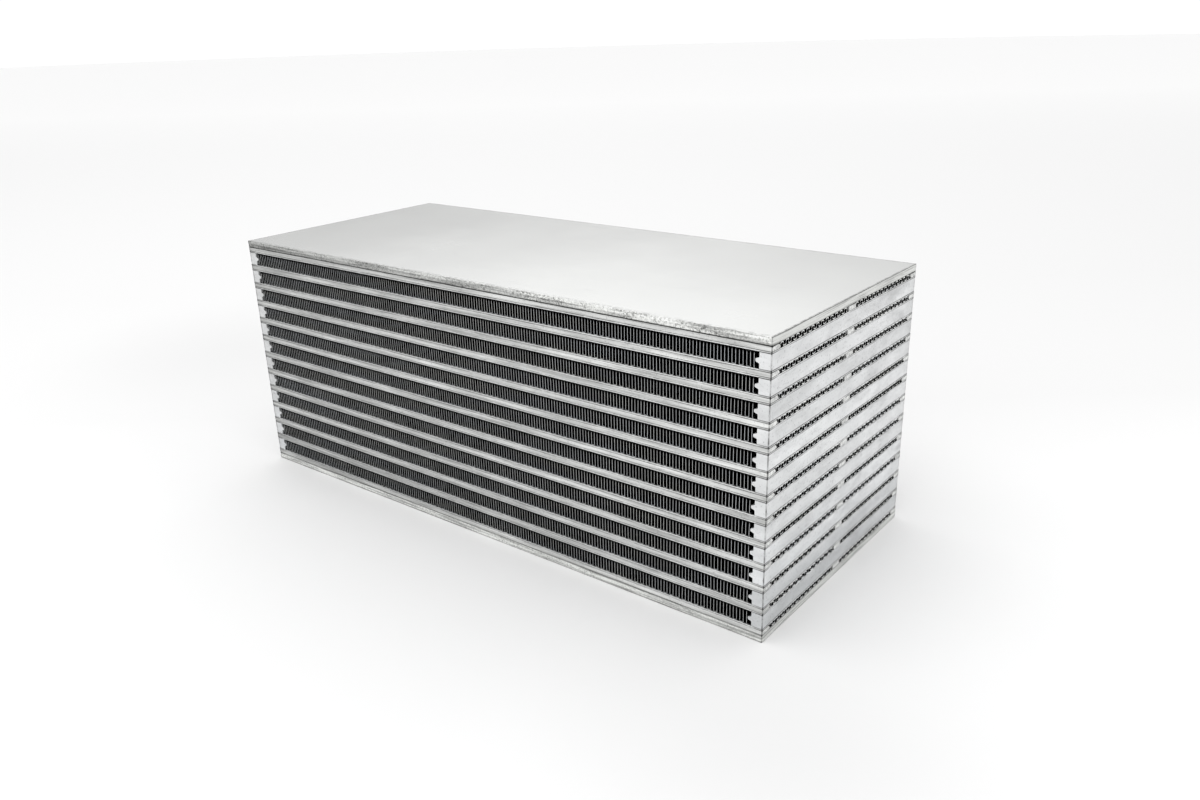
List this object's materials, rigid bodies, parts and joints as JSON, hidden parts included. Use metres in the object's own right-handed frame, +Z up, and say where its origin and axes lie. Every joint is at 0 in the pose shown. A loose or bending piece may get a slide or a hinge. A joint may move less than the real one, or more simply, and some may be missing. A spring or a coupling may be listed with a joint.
{
  "type": "hydraulic oil cooler core",
  "caption": "Brazed aluminium bar-and-plate cooler core: finned air layers stacked between thin two-pass oil layers, closed by bars and two side plates.",
  "frame": {"origin": "middle of the underside of the bottom side plate", "axes": "+X along the length, the way the oil runs; air blows through along Y, with the front at -Y; +Z up through the layers"},
  "size_m": [0.454, 0.1886, 0.1822],
  "materials": {
    "side_plate": "mill finish with a light satin sheen, sawn edges",
    "parting_sheet": "rolled sheet, seen only as thin edges",
    "oil_bar": "drawn bar, faint lengthwise brushing",
    "oil_passage": "brazed bar and sheet edges, light grey and slightly mottled",
    "air_bar": "drawn bar, nearly white sawn ends",
    "air_fin": "thin folded sheet, grey edges in deep shade",
    "turbulator": "thin lanced sheet, grey edges in deep shade"
  },
  "bodies": {
    "root": {"air_bar_left_01": "air_bar", "air_bar_left_02": "air_bar", "air_bar_left_03": "air_bar", "air_bar_left_04": "air_bar", "air_bar_left_05": "air_bar", "air_bar_left_06": "air_bar", "air_bar_left_07": "air_bar", "air_bar_left_08": "air_bar", "air_bar_left_09": "air_bar", "air_bar_left_10": "air_bar", "air_bar_left_11": "air_bar", "air_bar_left_12": "air_bar", "air_bar_right_01": "air_bar", "air_bar_right_02": "air_bar", "air_bar_right_03": "air_bar", "air_bar_right_04": "air_bar", "air_bar_right_05": "air_bar", "air_bar_right_06": "air_bar", "air_bar_right_07": "air_bar", "air_bar_right_08": "air_bar", "air_bar_right_09": "air_bar", "air_bar_right_10": "air_bar", "air_bar_right_11": "air_bar", "air_bar_right_12": "air_bar", "air_fin_01": "air_fin", "air_fin_02": "air_fin", "air_fin_03": "air_fin", "air_fin_04": "air_fin", "air_fin_05": "air_fin", "air_fin_06": "air_fin", "air_fin_07": "air_fin", "air_fin_08": "air_fin", "air_fin_09": "air_fin", "air_fin_10": "air_fin", "air_fin_11": "air_fin", "air_fin_12": "air_fin", "divider_bar_13": "oil_bar", "oil_bar_front_01": "oil_bar", "oil_bar_front_13": "oil_bar", "oil_bar_rear_01": "oil_bar", "oil_bar_rear_13": "oil_bar", "oil_passage_02": "oil_passage", "oil_passage_03": "oil_passage", "oil_passage_04": "oil_passage", "oil_passage_05": "oil_passage", "oil_passage_06": "oil_passage", "oil_passage_07": "oil_passage", "oil_passage_08": "oil_passage", "oil_passage_09": "oil_passage", "oil_passage_10": "oil_passage", "oil_passage_11": "oil_passage", "oil_passage_12": "oil_passage", "parting_sheet_13": "parting_sheet", "parting_sheet_with_divider_01": "parting_sheet", "side_plate_bottom": "side_plate", "side_plate_top": "side_plate", "turbulator_front_01": "turbulator", "turbulator_front_13": "turbulator", "turbulator_rear_01": "turbulator", "turbulator_rear_13": "turbulator"}
  },
  "joints": []
}
